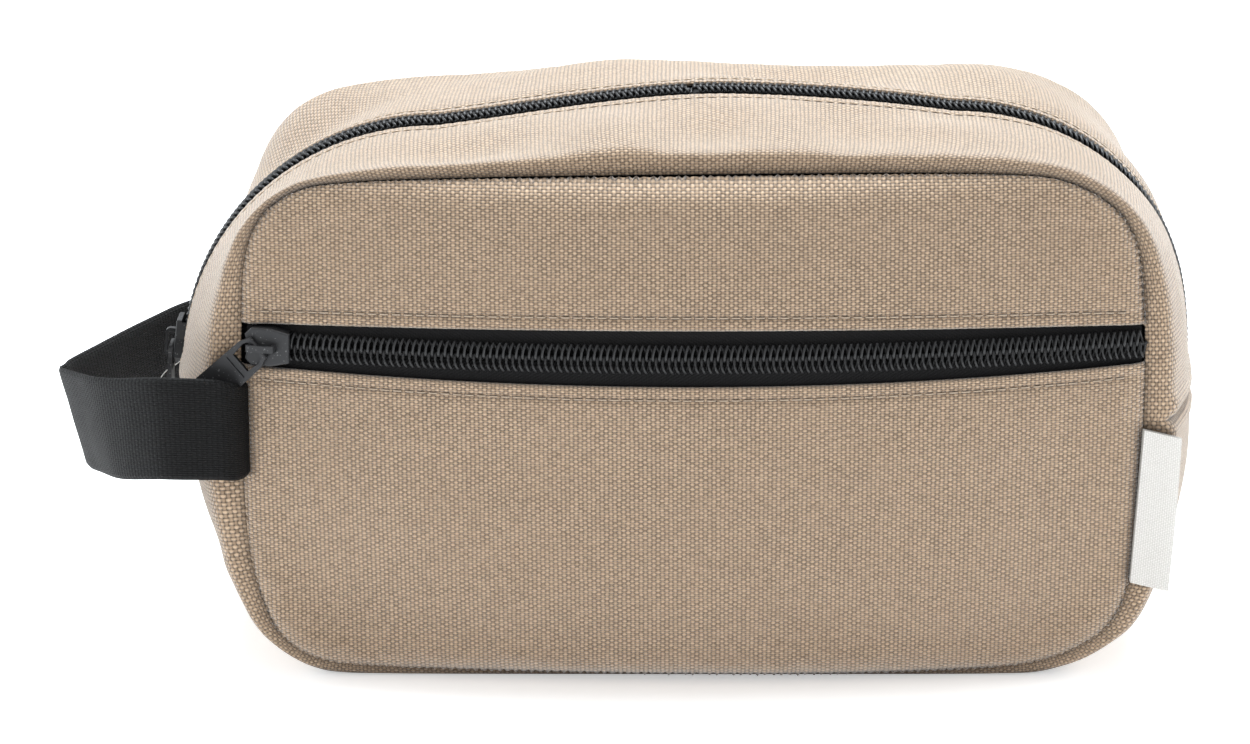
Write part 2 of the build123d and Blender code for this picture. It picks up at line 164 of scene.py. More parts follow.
def open_curve(points, count, steps=20):
    """An open smooth curve through the points, at even steps, and its length."""
    p = np.array(points, float)
    p = np.vstack([2 * p[0] - p[1], p, 2 * p[-1] - p[-2]])
    spans = zip(p[:-3], p[1:-2], p[2:-1], p[3:])
    out = np.vstack([smooth_span(*four, steps) for four in spans] + [p[-2:-1]])
    length = lengths_along(out)
    return points_at(np.linspace(0, length[-1], count), length, out), length[-1]


def outward(points):
    """Unit normals of a closed clockwise chain, pointing out."""
    tangent = np.roll(points, -1, 0) - np.roll(points, 1, 0)
    normal = np.column_stack([-tangent[:, 1], tangent[:, 0]])
    return normal / np.linalg.norm(normal, axis=1)[:, None]


def make_piece(name, points, faces, material, uv=None):
    """A mesh object from millimetre points and faces, with an optional uv per point in millimetres."""
    mesh = bpy.data.meshes.new(name)
    mesh.from_pydata((np.asarray(points, float) * MM).tolist(), [], [list(map(int, f)) for f in faces])
    if uv is not None:
        layer = mesh.uv_layers.new(name="cloth")
        index = np.empty(len(mesh.loops), int)
        mesh.loops.foreach_get("vertex_index", index)
        layer.data.foreach_set("uv", np.asarray(uv, float)[index].ravel())
    mesh.shade_smooth()
    mesh.materials.append(material)
    piece = bpy.data.objects.new(name, mesh)
    bpy.context.scene.collection.objects.link(piece)
    return piece


def grid_faces(rows, columns, wrap=False, flip=False):
    """Quads of a grid whose points are listed row by row."""
    last = columns if wrap else columns - 1
    i, j = np.meshgrid(np.arange(rows - 1), np.arange(last), indexing="ij")
    k = (j + 1) % columns
    quads = np.stack([i * columns + j, i * columns + k, (i + 1) * columns + k, (i + 1) * columns + j], -1)
    quads = quads.reshape(-1, 4)
    return quads[:, ::-1] if flip else quads


def faces_out(points):
    """True where a grid's faces look away from the bag's middle."""
    side, down = points[1:, :-1] - points[:-1, :-1], points[:-1, 1:] - points[:-1, :-1]
    away = points[:-1, :-1] - BAG_MIDDLE
    return float((np.cross(down, side) * away).sum()) > 0


def sheet(name, points, uv, material, thickness):
    """A cloth sheet from a grid of points [row, column, xyz], thickened on the side towards the bag."""
    rows, columns = points.shape[:2]
    faces = grid_faces(rows, columns, flip=not faces_out(points))
    piece = make_piece(name, points.reshape(-1, 3), faces, material, uv.reshape(-1, 2))
    thicken(piece, thickness, -1)
    return piece


def thicken(piece, thickness, offset):
    """Cloth thickness, with its cut edges kept out of the smooth shading."""
    solid = piece.modifiers.new("thickness", "SOLIDIFY")
    solid.thickness, solid.offset = thickness * MM, offset
    edges = piece.modifiers.new("edges", "EDGE_SPLIT")
    edges.split_angle = math.radians(55)


def tube(path, radius, sides, up=(0, 0, 1.0)):
    """Points and faces of a closed-ended tube along a path."""
    tangent = np.gradient(path, axis=0)
    tangent /= np.linalg.norm(tangent, axis=1)[:, None]
    first = np.cross(tangent, np.array(up))
    first /= np.linalg.norm(first, axis=1)[:, None] + 1e-9
    second = np.cross(first, tangent)
    turn = np.arange(sides) * 2 * math.pi / sides
    ring = first[:, None] * np.cos(turn)[None, :, None] + second[:, None] * np.sin(turn)[None, :, None]
    points = (path[:, None] + ring * np.broadcast_to(radius, len(path))[:, None, None]).reshape(-1, 3)
    faces = grid_faces(len(path), sides, wrap=True).tolist()
    faces += [list(range(sides))[::-1], list(range(len(points) - sides, len(points)))]
    return points, faces


def join_parts(parts):
    """Several (points, faces) as one."""
    points, faces, start = [], [], 0
    for p, f in parts:
        points.append(p)
        faces += [[v + start for v in face] for face in f]
        start += len(p)
    return np.vstack(points), faces


# ---- materials ----
class Nodes:
    """A short way to write a material's nodes."""

    def __init__(self, name):
        self.material = bpy.data.materials.new(name)
        self.material.use_nodes = True
        self.tree = self.material.node_tree
        self.shader = self.tree.nodes["Principled BSDF"]

    def link(self, source, target):
        self.tree.links.new(source, target)

    def put(self, socket, value):
        if isinstance(value, bpy.types.NodeSocket):
            self.link(value, socket)
        else:
            socket.default_value = value

    def math(self, operation, a, b=0.0):
        node = self.tree.nodes.new("ShaderNodeMath")
        node.operation = operation
        self.put(node.inputs[0], a)
        self.put(node.inputs[1], b)
        return node.outputs[0]

    def uv(self):
        coordinate = self.tree.nodes.new("ShaderNodeTexCoord")
        split = self.tree.nodes.new("ShaderNodeSeparateXYZ")
        self.link(coordinate.outputs["UV"], split.inputs[0])
        return split.outputs[0], split.outputs[1]

    def place(self):
        return self.tree.nodes.new("ShaderNodeTexCoord").outputs["Object"]

    def noise(self, vector, scale, detail=2.0, rough=0.5):
        """Noise from 0 to 1, with about scale features to the metre."""
        node = self.tree.nodes.new("ShaderNodeTexNoise")
        self.link(vector, node.inputs["Vector"])
        node.inputs["Scale"].default_value = scale
        node.inputs["Detail"].default_value = detail
        node.inputs["Roughness"].default_value = rough
        return node.outputs["Fac"]

    def painted_shade(self, reach):
        """Painted shade: 1 in the open, less where other cloth is within reach, as in a seam; it darkens the
        colour.
        """
        node = self.tree.nodes.new("ShaderNodeAmbientOcclusion")
        node.samples = 6
        node.inputs["Distance"].default_value = reach * MM
        return node.outputs["AO"]

    def white(self, a, b):
        """A value from 0 to 1 for each whole-number pair."""
        vector = self.tree.nodes.new("ShaderNodeCombineXYZ")
        self.put(vector.inputs[0], a)
        self.put(vector.inputs[1], b)
        node = self.tree.nodes.new("ShaderNodeTexWhiteNoise")
        node.noise_dimensions = "2D"
        self.link(vector.outputs[0], node.inputs["Vector"])
        return node.outputs["Value"]

    def mix(self, share, low, high):
        node = self.tree.nodes.new("ShaderNodeMix")
        node.data_type = "RGBA"
        self.put(node.inputs["Factor"], share)
        self.put(node.inputs["A"], (*low, 1) if isinstance(low, tuple) else low)
        self.put(node.inputs["B"], (*high, 1) if isinstance(high, tuple) else high)
        return node.outputs["Result"]

    def finish(self, colour, roughness, height=None, depth=0.1, **more):
        self.put(self.shader.inputs["Base Color"], colour)
        self.put(self.shader.inputs["Roughness"], roughness)
        if height is not None:
            bump = self.tree.nodes.new("ShaderNodeBump")
            bump.inputs["Distance"].default_value = depth * MM
            bump.inputs["Strength"].default_value = 1.0
            self.link(height, bump.inputs["Height"])
            self.link(bump.outputs[0], self.shader.inputs["Normal"])
        for key, value in more.items():
            self.put(self.shader.inputs[key.replace("_", " ")], value)
        return self.material


def woven(name, cell, tones, depth, roughness, sheen, sway_share):
    """Plain-woven cloth: cells where one thread or the other is on top by turns, and a hole at each corner,
    with painted shade where other cloth lies near.

    cell is a cell's width and height; tones are the colours of the holes, the threads' low and high parts,
    and the odd flecks; sway_share is how far the threads stray, in cells.
    """
    gap, dark, light, fleck = tones
    n = Nodes(name)
    u, v = n.uv()
    place = n.place()
    sway = n.math("MULTIPLY", n.math("SUBTRACT", n.noise(place, 260.0, 3.0), 0.5), sway_share)
    drift = n.math("MULTIPLY", n.math("SUBTRACT", n.noise(place, 330.0, 3.0), 0.5), sway_share)
    across = n.math("ADD", n.math("DIVIDE", u, cell[0]), sway)
    along = n.math("ADD", n.math("DIVIDE", v, cell[1]), drift)
    number, stitch = n.math("FLOOR", across), n.math("FLOOR", along)
    wide = n.math("ABSOLUTE", n.math("SINE", n.math("MULTIPLY", across, math.pi)))
    tall = n.math("ABSOLUTE", n.math("SINE", n.math("MULTIPLY", along, math.pi)))
    odd = n.math("ABSOLUTE", n.math("MODULO", n.math("ADD", number, stitch), 2.0))
    warp_top = n.math("ADD", n.math("MULTIPLY", tall, 0.40), 0.68)
    warp = n.math("MULTIPLY", n.math("POWER", wide, 0.45), warp_top)
    weft_top = n.math("ADD", n.math("MULTIPLY", wide, 0.20), 0.34)
    weft = n.math("MULTIPLY", n.math("POWER", tall, 0.5), weft_top)
    height = n.math("ADD", n.math("MULTIPLY", warp, odd),
                    n.math("MULTIPLY", weft, n.math("SUBTRACT", 1.0, odd)))
    tone = n.math("SUBTRACT", n.white(number, stitch), 0.5)
    fibre = n.math("SUBTRACT", n.noise(place, 2600.0, 2.0, 0.7), 0.5)
    share = n.math("ADD", n.math("MULTIPLY", height, 0.95), n.math("MULTIPLY", tone, 0.26))
    share = n.math("ADD", share, n.math("MULTIPLY", fibre, 0.75))
    colour = n.mix(n.math("MINIMUM", n.math("MAXIMUM", share, 0.0), 1.0), dark, light)
    fleck_here = n.math("GREATER_THAN", n.white(n.math("ADD", number, 77.0), stitch), 0.96)
    colour = n.mix(n.math("MULTIPLY", fleck_here, 0.35), colour, fleck)
    hole = n.math("SUBTRACT", 1.0, n.math("MULTIPLY", n.math("MAXIMUM", wide, tall), 1.2))
    colour = n.mix(n.math("MAXIMUM", hole, 0.0), colour, gap)
    blotch = n.math("MAXIMUM", n.math("SUBTRACT", n.noise(place, 38.0, 3.0, 0.6), 0.42), 0.0)
    colour = n.mix(n.math("MULTIPLY", blotch, 0.5), colour, fleck)
    # painted shade: the colour turns toward the hole colour where other cloth is near, as in seams and folds
    colour = n.mix(n.math("POWER", n.painted_shade(SEAM_SHADE_REACH), 1.6), gap, colour)
    relief = n.math("ADD", height, n.math("MULTIPLY", fibre, 0.35))
    more = {"Sheen_Weight": sheen, "Sheen_Roughness": 0.45, "Specular_IOR_Level": 0.2}
    return n.finish(colour, roughness, relief, depth, **more)


def twill_tape():
    """The zip's woven tape, with fine slanting ribs."""
    n = Nodes("zip_tape")
    u, v = n.uv()
    place = n.place()
    slant = n.math("ADD", n.math("MULTIPLY", u, 0.75), n.math("MULTIPLY", n.math("ABSOLUTE", v), 1.3))
    rib = n.math("ADD", n.math("MULTIPLY", n.math("SINE", n.math("MULTIPLY", slant, 6.3)), 0.5), 0.5)
    cross = n.math("ADD", n.math("MULTIPLY", n.math("SINE", n.math("MULTIPLY", u, 11.0)), 0.5), 0.5)
    height = n.math("ADD", n.math("MULTIPLY", rib, 0.7), n.math("MULTIPLY", cross, 0.3))
    fibre = n.noise(place, 2200.0, 2.0)
    share = n.math("MULTIPLY", n.math("ADD", height, fibre), 0.5)
    colour = n.mix(share, (0.002, 0.002, 0.0022), (0.010, 0.0095, 0.010))
    return n.finish(colour, 0.8, height, 0.12, Specular_IOR_Level=0.22)


def nylon():
    n = Nodes("coil_nylon")
    place = n.place()
    scratch = n.noise(place, 900.0, 3.0)
    colour = n.mix(scratch, (0.004, 0.004, 0.0045), (0.016, 0.016, 0.017))
    rough = n.math("ADD", n.math("MULTIPLY", scratch, 0.2), 0.3)
    return n.finish(colour, rough, scratch, 0.02, Specular_IOR_Level=0.45)


def painted_metal():
    """Dark satin paint with a fine orange peel and a few tiny specks."""
    n = Nodes("slider_paint")
    place = n.place()
    peel = n.noise(place, 1500.0, 2.0)
    cloud = n.noise(place, 160.0, 3.0)
    colour = n.mix(cloud, (0.022, 0.0225, 0.024), (0.036, 0.0365, 0.039))
    speck = n.math("GREATER_THAN", n.noise(place, 2100.0, 0.0), 0.76)
    colour = n.mix(n.math("MULTIPLY", speck, 0.3), colour, (0.35, 0.35, 0.35))
    rough = n.math("ADD", n.math("MULTIPLY", cloud, 0.15), 0.36)
    return n.finish(colour, rough, peel, 0.02, Metallic=0.35, Specular_IOR_Level=0.5)


def thread_material(name, dark, light):
    n = Nodes(name)
    place = n.place()
    strand = n.noise(place, 1900.0, 3.0)
    return n.finish(n.mix(strand, dark, light), 0.75, strand, 0.05, Sheen_Weight=0.3)


# the colours of holes, low threads, high threads and flecks
CANVAS_TONES = (0.03, 0.019, 0.011), (0.115, 0.077, 0.047), (0.61, 0.447, 0.307), (0.36, 0.25, 0.165)
LINING_TONES = (0.004, 0.004, 0.005), (0.012, 0.012, 0.014), (0.035, 0.035, 0.038), (0.02, 0.02, 0.022)
WEBBING_TONES = (0.001, 0.001, 0.001), (0.001, 0.001, 0.0011), (0.008, 0.008, 0.0085), (0.004, 0.004, 0.004)
LABEL_TONES = (0.40, 0.38, 0.35), (0.57, 0.55, 0.52), (0.73, 0.71, 0.68), (0.62, 0.60, 0.57)
canvas = woven("canvas", (1.0, 0.585), CANVAS_TONES, 0.34, 0.9, 0.65, 0.42)
lining_cloth = woven("lining_cloth", (0.45, 0.5), LINING_TONES, 0.08, 0.7, 0.2, 0.1)
webbing = woven("webbing", (1.25, 0.55), WEBBING_TONES, 0.45, 0.68, 0.0, 0.12)
label_cloth = woven("label_cloth", (0.5, 0.42), LABEL_TONES, 0.06, 0.65, 0.2, 0.15)
tape_cloth = twill_tape()
coil_nylon = nylon()
slider_paint = painted_metal()
beige_thread = thread_material("beige_thread", (0.36, 0.27, 0.19), (0.56, 0.45, 0.34))
white_thread = thread_material("white_thread", (0.55, 0.53, 0.50), (0.80, 0.79, 0.76))

for node, thing in frame["nodes"].items():
    if "slider" in node or "pull" in node:
        thing.data.materials.clear()
        thing.data.materials.append(slider_paint)
        thing.data.shade_smooth()
        edges = thing.modifiers.new("edges", "EDGE_SPLIT")
        edges.split_angle = math.radians(35)

# ---- the two outlines, seen from the front, clockwise from the top middle ----
SEAM_POINTS = [
    (0, 123.4), (45, 123.8), (72, 123.5), (85, 122.0), (95.6, 116.6), (101.4, 109.0), (103.8, 99), (105, 82),
    (105, 60), (104.5, 42), (103.6, 28), (101, 18), (96, 10.8), (86, 5.2), (72, 2.4), (37, 1.0), (0, 1.0),
    (-46, 1.7), (-78, 2.8), (-90, 4.8), (-97.5, 9.8), (-101.8, 17.5), (-105, 31), (-106, 50), (-106, 68),
    (-105.6, 84), (-104.4, 102), (-100.6, 112.6), (-92, 119.4), (-78, 121.7), (-45, 122.8),
]
SEAM_COUNT = 640
seam = resample(closed_curve(SEAM_POINTS), SEAM_COUNT)
seam_out = outward(seam)


def arc(centre, radius, start, end, count=60):
    a = np.radians(np.linspace(start, end, count))
    return np.column_stack([centre[0] + radius * np.cos(a), centre[1] + radius * np.sin(a)])


def middle_side():
    """The stuffed outline from the top middle to the bottom middle: crown, shoulder, side, foot, base."""
    rise = BULGE_TOP - (shoulder_z + SHOULDER_R)
    crown_r = (shoulder_x**2 + rise**2) / (2 * rise)
    side_r, side_drop, bottom = 90.0, 39.5, -0.4
    turn = math.asin(side_drop / side_r)
    foot_r = (shoulder_z - side_drop - bottom) / (1 - math.sin(turn))
    foot_x = BULGE_HALF - side_r + (side_r - foot_r) * math.cos(turn)
    crown_end = math.degrees(math.acos(shoulder_x / crown_r))
    stretches = [
        arc((0, BULGE_TOP - crown_r), crown_r, 90, crown_end),
        arc((shoulder_x, shoulder_z), SHOULDER_R, 90, 0),
        arc((BULGE_HALF - side_r, shoulder_z), side_r, 0, -math.degrees(turn)),
        arc((foot_x, bottom + foot_r), foot_r, -math.degrees(turn), -90),
        np.column_stack([np.linspace(foot_x, 0, 60), np.full(60, bottom)]),
    ]
    return stretches


def key_points():
    """Seam positions across from the ends of the middle outline's stretches."""
    x, z = seam[:, 0], seam[:, 1]
    top, right = z > BAG_MIDDLE[2], x > 0
    foot_z, foot_x = 24.0, 77.0
    wanted = [
        (x - LIP_HALF, top), (z - shoulder_z, right), (z - foot_z, right), (x - foot_x, ~top), (x, ~top),
        (x + foot_x, ~top), (z - foot_z, ~right), (z - shoulder_z, ~right), (x + LIP_HALF, top),
    ]
    return [0] + [int(np.argmin(np.abs(miss) + FAR * ~allowed)) for miss, allowed in wanted] + [SEAM_COUNT]


def matched_middle():
    """For each seam point, the middle outline's point across the strip from it."""
    stretches = middle_side()
    right = np.vstack(stretches)
    left = right[::-1] * [-1, 1]
    for half in (right, left):
        half[:, 1] += CROWN_LIFT * smooth(half[:, 1], JOIN_Z, 120) * smooth(half[:, 0], 4 - shoulder_x, 10)
    right[:, 0] -= RIGHT_SLACK * gauss(right[:, 1], 64, 30)
    right[:, 0] += RIGHT_FOOT * gauss(right[:, 1], 12, 10) * smooth(right[:, 0], 60, 95)
    closed = close(np.vstack([right, left[1:-1]]))
    length = lengths_along(closed)
    total = length[-1]
    down = [length[end] for end in np.cumsum([len(s) for s in stretches]) - 1]
    key_length = [0.0] + down + [total - d for d in down[-2::-1]] + [total]
    even = np.arange(SEAM_COUNT) * total / SEAM_COUNT
    at = np.interp(np.arange(SEAM_COUNT), key_points(), key_length)
    return points_at(np.mod(soften(at - even) + even, total), length, closed)


middle = matched_middle()
middle_out = outward(middle)
middle_step = np.linalg.norm(np.roll(middle, -1, 0) - middle, axis=1)
middle_run = np.concatenate([[0], np.cumsum(middle_step)[:-1]])
at_join = np.abs(middle[:, 1] - JOIN_Z)
RIGHT_JOIN = int(np.argmin(at_join + FAR * (middle[:, 0] < 0)))  # positions of the seams at the ends
LEFT_JOIN = int(np.argmin(at_join + FAR * (middle[:, 0] > 0)))


DENTS = [                                                # how far out, X and its reach, Y and its reach
    (-4.8, 28, 24, 26, 13), (-3.0, 4, 14, -30, 12), (1.95, -18, 13, -31, 13), (-2.1, 36, 14, -27, 15),
    (1.5, 20, 11, -24, 15), (-2.4, -52, 18, -30, 9), (1.95, 58, 14, -24, 10), (2.4, -20, 20, 30, 12),
    (3.0, 74, 22, 30, 14),
]


def strip_wrinkles(x, y, z):
    """How far the strip's cloth stands out or in: broad waves, puckers by the seams, and dents on top."""
    d = HALF_DEPTH - np.abs(y)
    broad = 1.5 * fbm(x, y, z, 46.0, 3.1) * smooth(d, 2, 16)
    pucker = 0.3 * fbm(x, y * 0.25, z, 9.0, 8.7) * gauss(d, 5, 7)
    dents = sum(out * gauss(x, at_x, wide) * gauss(y, at_y, deep) for out, at_x, wide, at_y, deep in DENTS)
    shoulder = -4.2 * gauss(x, -98, 22) * gauss(y, 24, 20) * smooth(z, 84, 108) * smooth(d, 5, 20)
    off_slot = smooth(np.abs(y), SLOT_HALF + 0.4, 15)
    return (broad + dents * smooth(z, 112, 122) + shoulder) * off_slot + pucker


def strip_surface(index, y):
    """Points on the strip round the bag, for a column of outline positions and a row of depths."""
    index, y = np.meshgrid(index, y)
    t = np.clip(np.abs(y) / HALF_DEPTH, 0, 1)
    d = HALF_DEPTH * (1 - t)
    share = np.sqrt(1 - t**2)[..., None]
    swell = (SWELL * (1 - np.exp(-d / 1.2)) * np.exp(-d / 7.0))[..., None]
    flat = ring_seam[index] * (1 - share) + ring_middle[index] * share + ring_seam_out[index] * swell
    normal = ring_seam_out[index] * (1 - share) + ring_middle_out[index] * share
    shift = strip_wrinkles(flat[..., 0], y, flat[..., 1])
    steps_off = np.minimum(np.abs(index - RIGHT_JOIN), np.abs(index - LEFT_JOIN))
    to_join = steps_off * (middle_run[-1] / SEAM_COUNT)
    groove, lip = -JOIN_DIP * np.exp(-to_join / 1.1), JOIN_LIP * gauss(to_join, 3.2, 2.2)
    flat = flat + normal * ((shift + groove + lip) * smooth(d, 0, 3.5))[..., None]
    floor, ease = 0.25, 0.5
    flat[..., 1] = floor + np.logaddexp(0, (flat[..., 1] - floor) / ease) * ease
    depth = y - np.sign(y) * SEAM_DIP * np.exp(-d / 0.9)
    return np.stack([flat[..., 0], depth, flat[..., 1]], -1), normal


# the same rings with their first point again at the end, so that a strip can run on to the top middle
middle_total = float(middle_step.sum())
ring_seam, ring_seam_out = close(seam), close(seam_out)
ring_middle, ring_middle_out = close(middle), close(middle_out)
ring_run = np.append(middle_run, middle_total)


def spread(count, share):
    """Steps from 0 to 1, closer together near both ends."""
    t = np.linspace(0, 1, count)
    return (1 - share) * t + share * (0.5 - 0.5 * np.cos(t * math.pi))


def strip_depths(side, inner):
    """Depths from a seam to the inner edge, closer together near both."""
    return side * (HALF_DEPTH + (inner - HALF_DEPTH) * spread(44, 0.55))


def strip_uv(index, points):
    """Cloth coordinates: the way round the bag, and the length over the cloth from the first row."""
    run = ring_run[index] - (middle_total if index[0] > SEAM_COUNT // 2 else 0)
    step = np.linalg.norm(np.diff(points, axis=0), axis=2)
    over = np.concatenate([[0], np.cumsum(step.mean(axis=1))])
    return np.stack(np.meshgrid(run, over), -1)


def hem(edge, across, inward):
    """Rows that roll a cloth's edge under itself."""
    turns = np.radians(np.linspace(25, 180, 7))
    rows = [edge + HEM_R * (across * math.sin(turn) + inward * (1 - math.cos(turn))) for turn in turns]
    return np.array(rows + [rows[-1] - across * HEM_REACH])


def stitched(from_edge, run, fade=1.0):
    """How far out cloth stands by a row of stitches: pulled in under it, with small waves to the edge."""
    pulled = -STITCH_PULL * gauss(from_edge, STITCH_INSET, 0.75)
    return pulled + STITCH_WAVE * fade * np.sin(run / STITCH * 2 * math.pi) * np.exp(-from_edge / 3.0)


# ---- the top strips, in halves that meet at the middle of the mouth ----
TOP_RIGHT = np.arange(0, RIGHT_JOIN + 1)
TOP_LEFT = np.arange(LEFT_JOIN, SEAM_COUNT + 1)
top_pieces = {}
for side_name, side in (("front", -1), ("back", 1)):
    for half_name, index in (("right", TOP_RIGHT), ("left", TOP_LEFT)):
        points, normal = strip_surface(index, strip_depths(side, SLOT_HALF))
        out = np.stack([normal[..., 0], np.zeros(normal.shape[:2]), normal[..., 1]], -1)
        run = ring_run[index]
        from_edge = np.abs(np.abs(points[..., 1]) - SLOT_HALF)
        points += out * stitched(from_edge, run, smooth(run, 0, 3))[..., None]
        points = np.concatenate([points, hem(points[-1], np.array([0, -side, 0]), -out[-1])])
        piece = sheet(f"top_strip_{side_name}_{half_name}", points, strip_uv(index, points), canvas, CANVAS)
        top_pieces[side_name, half_name] = [piece]

# ---- the bottom strip ----
BOTTOM = np.arange(RIGHT_JOIN, LEFT_JOIN + 1)
bottom_depths = np.concatenate([strip_depths(-1, 0.0)[:-1], strip_depths(1, 0.0)[::-1]])
points, normal = strip_surface(BOTTOM, bottom_depths)
bottom_strip = sheet("bottom_strip", points, strip_uv(BOTTOM, points), canvas, CANVAS)
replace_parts(bottom_strip, "bottom_gusset")
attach(bottom_strip, "bag")


# ---- the front and back panels ----
def seam_distance(x, z):
    """Distance from points inside the seam to the seam."""
    best = np.full(np.shape(x), FAR)
    for seam_x, seam_z in seam[::2]:
        best = np.minimum(best, np.hypot(x - seam_x, z - seam_z))
    return best


def panel_depth(x, z, mid_y, wrinkle_seed):
    """How far a panel stands out past its seam plane."""
    bulge = abs(mid_y) - HALF_DEPTH
    radius = (PANEL_HALF**2 + bulge**2) / (2 * bulge)
    dome = bulge - (radius - np.sqrt(radius**2 - x**2)) - (z - PANEL_MID_Z) ** 2 / (2 * PANEL_UPRIGHT_R)
    dome = (dome + np.sqrt(dome**2 + DOME_SOFT)) / 2
    d = seam_distance(x, z)
    edge = 1 - np.exp(-d / 2.4)
    away = smooth(np.abs(z - ZIP_Z), 7, 24) if mid_y < 0 else 1.0
    broad = 1.1 * fbm(x, z * 0, z, 40.0, wrinkle_seed) * smooth(d, 3, 20) * away
    pucker = 0.4 * fbm(x, z * 0, z, 6.5, wrinkle_seed + 4) * gauss(d, 4, 5) * smooth(d, 0, 2.5)
    roll = 0.7 * gauss(d, 4.0, 5.0) * away
    return (dome + roll) * edge + broad + pucker - SEAM_DIP * np.exp(-d)


def seam_between(start, end, steps):
    """Seam points between two positions, the short way round, at steps from 0 to 1."""
    span = (end - start + SEAM_COUNT // 2) % SEAM_COUNT - SEAM_COUNT // 2
    return points_at((start + span * steps) % SEAM_COUNT, np.arange(SEAM_COUNT + 1), ring_seam)


def nearest_seam(x, z):
    return int(np.argmin(np.hypot(seam[:, 0] - x, seam[:, 1] - z)))


def coons(top, bottom, left, right, a, b):
    """A patch between four boundary curves; a runs along top and bottom, b down the sides."""
    a, b = a[None, :, None], b[:, None, None]
    ruled_b = (1 - b) * top[None] + b * bottom[None]
    ruled_a = (1 - a) * left[:, None] + a * right[:, None]
    corners = (1 - b) * ((1 - a) * top[0] + a * top[-1]) + b * ((1 - a) * bottom[0] + a * bottom[-1])
    return ruled_a + ruled_b - corners


def slot_half(x):
    """Half the pocket slot's height. It narrows to both ends, more to the right."""
    return 7.2 - np.where(x < 0, 1.3, 1.6) * (x / 93.0) ** 2


COLUMNS, ROWS = 320, 84
UPPER_CORNER, LOWER_CORNER = (99.6, 114.5), (97.0, 13.5)  # where a panel's sides turn into top and bottom
across = spread(COLUMNS, 0.5)


def panel_patch(sign, corner):
    """A front panel's grid in x and z, from the zip's slot (row 0) out to the seam."""
    reach = np.interp(ZIP_Z, [60, 90], [104.6, 105.4])
    x = -reach + 2 * reach * across
    slot = np.column_stack([x, ZIP_Z + sign * slot_half(x)])
    left_corner, right_corner = nearest_seam(-corner[0], corner[1]), nearest_seam(*corner)
    down = spread(ROWS, 0.6)
    seam_run = seam_between(left_corner, right_corner, across)
    left = seam_between(nearest_seam(*slot[0]), left_corner, down)
    right = seam_between(nearest_seam(*slot[-1]), right_corner, down)
    slot[0], slot[-1] = left[0], right[0]
    return coons(slot, seam_run, left, right, across, down)


def front_panel(name, sign, corner):
    """A front panel, with its edge by the zip rolled under and pulled in by a row of stitches."""
    flat = panel_patch(sign, corner)
    x, z = flat[..., 0], flat[..., 1]
    from_edge = np.abs(z - (ZIP_Z + sign * slot_half(x)))
    depth = panel_depth(x, z, FRONT_MID_Y, 11.0 + sign) + stitched(from_edge, x)
    points = np.stack([x, -HALF_DEPTH - depth, z], -1)
    rolled = hem(points[0], np.array([0, 0, -sign]), np.array([0, 1, 0]))
    points = np.concatenate([rolled[::-1], points])
    uv = points[..., [0, 2]].copy()
    count = len(rolled)
    uv[:count, :, 1] = uv[count, :, 1] - sign * 0.6 * np.arange(count, 0, -1)[:, None]
    piece = sheet(name, points, uv, canvas, CANVAS)
    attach(piece, "bag")
    return piece


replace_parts(front_panel("front_cloth_lower", -1, LOWER_CORNER), "front_panel_lower")
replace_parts(front_panel("front_cloth_upper", 1, UPPER_CORNER), "front_panel_upper")


def whole_patch(columns, rows, shrink=(1, 1)):
    """A grid in x and z over everything inside the seam, or over that shrunk about its middle."""
    (high_x, high_z), (low_x, low_z) = UPPER_CORNER, LOWER_CORNER
    upper_left, upper_right = nearest_seam(-high_x, high_z), nearest_seam(high_x, high_z)
    lower_right, lower_left = nearest_seam(low_x, low_z), nearest_seam(-low_x, low_z)
    a, b = np.linspace(0, 1, columns), np.linspace(0, 1, rows)
    edges = [seam_between(upper_left, upper_right, a), seam_between(lower_left, lower_right, a),
             seam_between(upper_left, lower_left, b), seam_between(upper_right, lower_right, b)]
    centre = np.array([0, BAG_MIDDLE[2]])
    return coons(*[(edge - centre) * shrink + centre for edge in edges], a, b)


def back_panel():
    """The back panel, in one piece."""
    flat = whole_patch(COLUMNS // 2, 90)
    x, z = flat[..., 0], flat[..., 1]
    points = np.stack([x, HALF_DEPTH + panel_depth(x, z, BACK_MID_Y, 31.0), z], -1)
    piece = sheet("back_cloth", points, flat, canvas, CANVAS)
    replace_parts(piece, "back_panel")
    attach(piece, "bag")


back_panel()


# ---- zips ----
def front_curve(x, inset, z):
    """A point on the front zip's arc, moved in, at height z."""
    radius = front_axis_y - FRONT_MID_Y - (ZIP_Z - PANEL_MID_Z) ** 2 / (2 * PANEL_UPRIGHT_R)
    angle = np.arcsin(x / radius)
    r = radius - inset + (z - ZIP_Z) * (PANEL_MID_Z - ZIP_Z) / PANEL_UPRIGHT_R
    z = np.broadcast_to(z, np.shape(x))
    return np.stack([r * np.sin(angle), front_axis_y - r * np.cos(angle), z], -1)


def top_curve(run, inset, y):
    """A point on the top zip's path, at a distance from the crown's middle, moved in, at depth y."""
    at = np.mod(run, middle_total)
    x, z = points_at(at, ring_run, ring_middle).T
    out_x, out_z = points_at(at, ring_run, ring_middle_out).T
    return np.stack([x - out_x * inset, np.broadcast_to(y, np.shape(x)), z - out_z * inset], -1)


RIGHT_RUN = middle_run[RIGHT_JOIN]
LEFT_RUN = middle_run[LEFT_JOIN] - middle_total

FRONT_ZIP_END = 104.6                                    # the front zip runs into the seams at both ends
PITCH, WIRE = 1.5, 0.36                                  # of the coil's turns
COIL_IN, COIL_OUT, COIL_RISE = -0.2, 3.15, 0.66          # each half's loops reach past the middle
COIL_INSET = 0.35
COIL_SHIFT = {1: 0.0, -1: 0.5}                           # turns that one half runs ahead, so that they mesh
TAPE_ROWS = [0.25, 1.2, 2.4, 3.6, 4.6, 5.6, 6.8, 8.0]    # from the zip's middle; the edge comes last


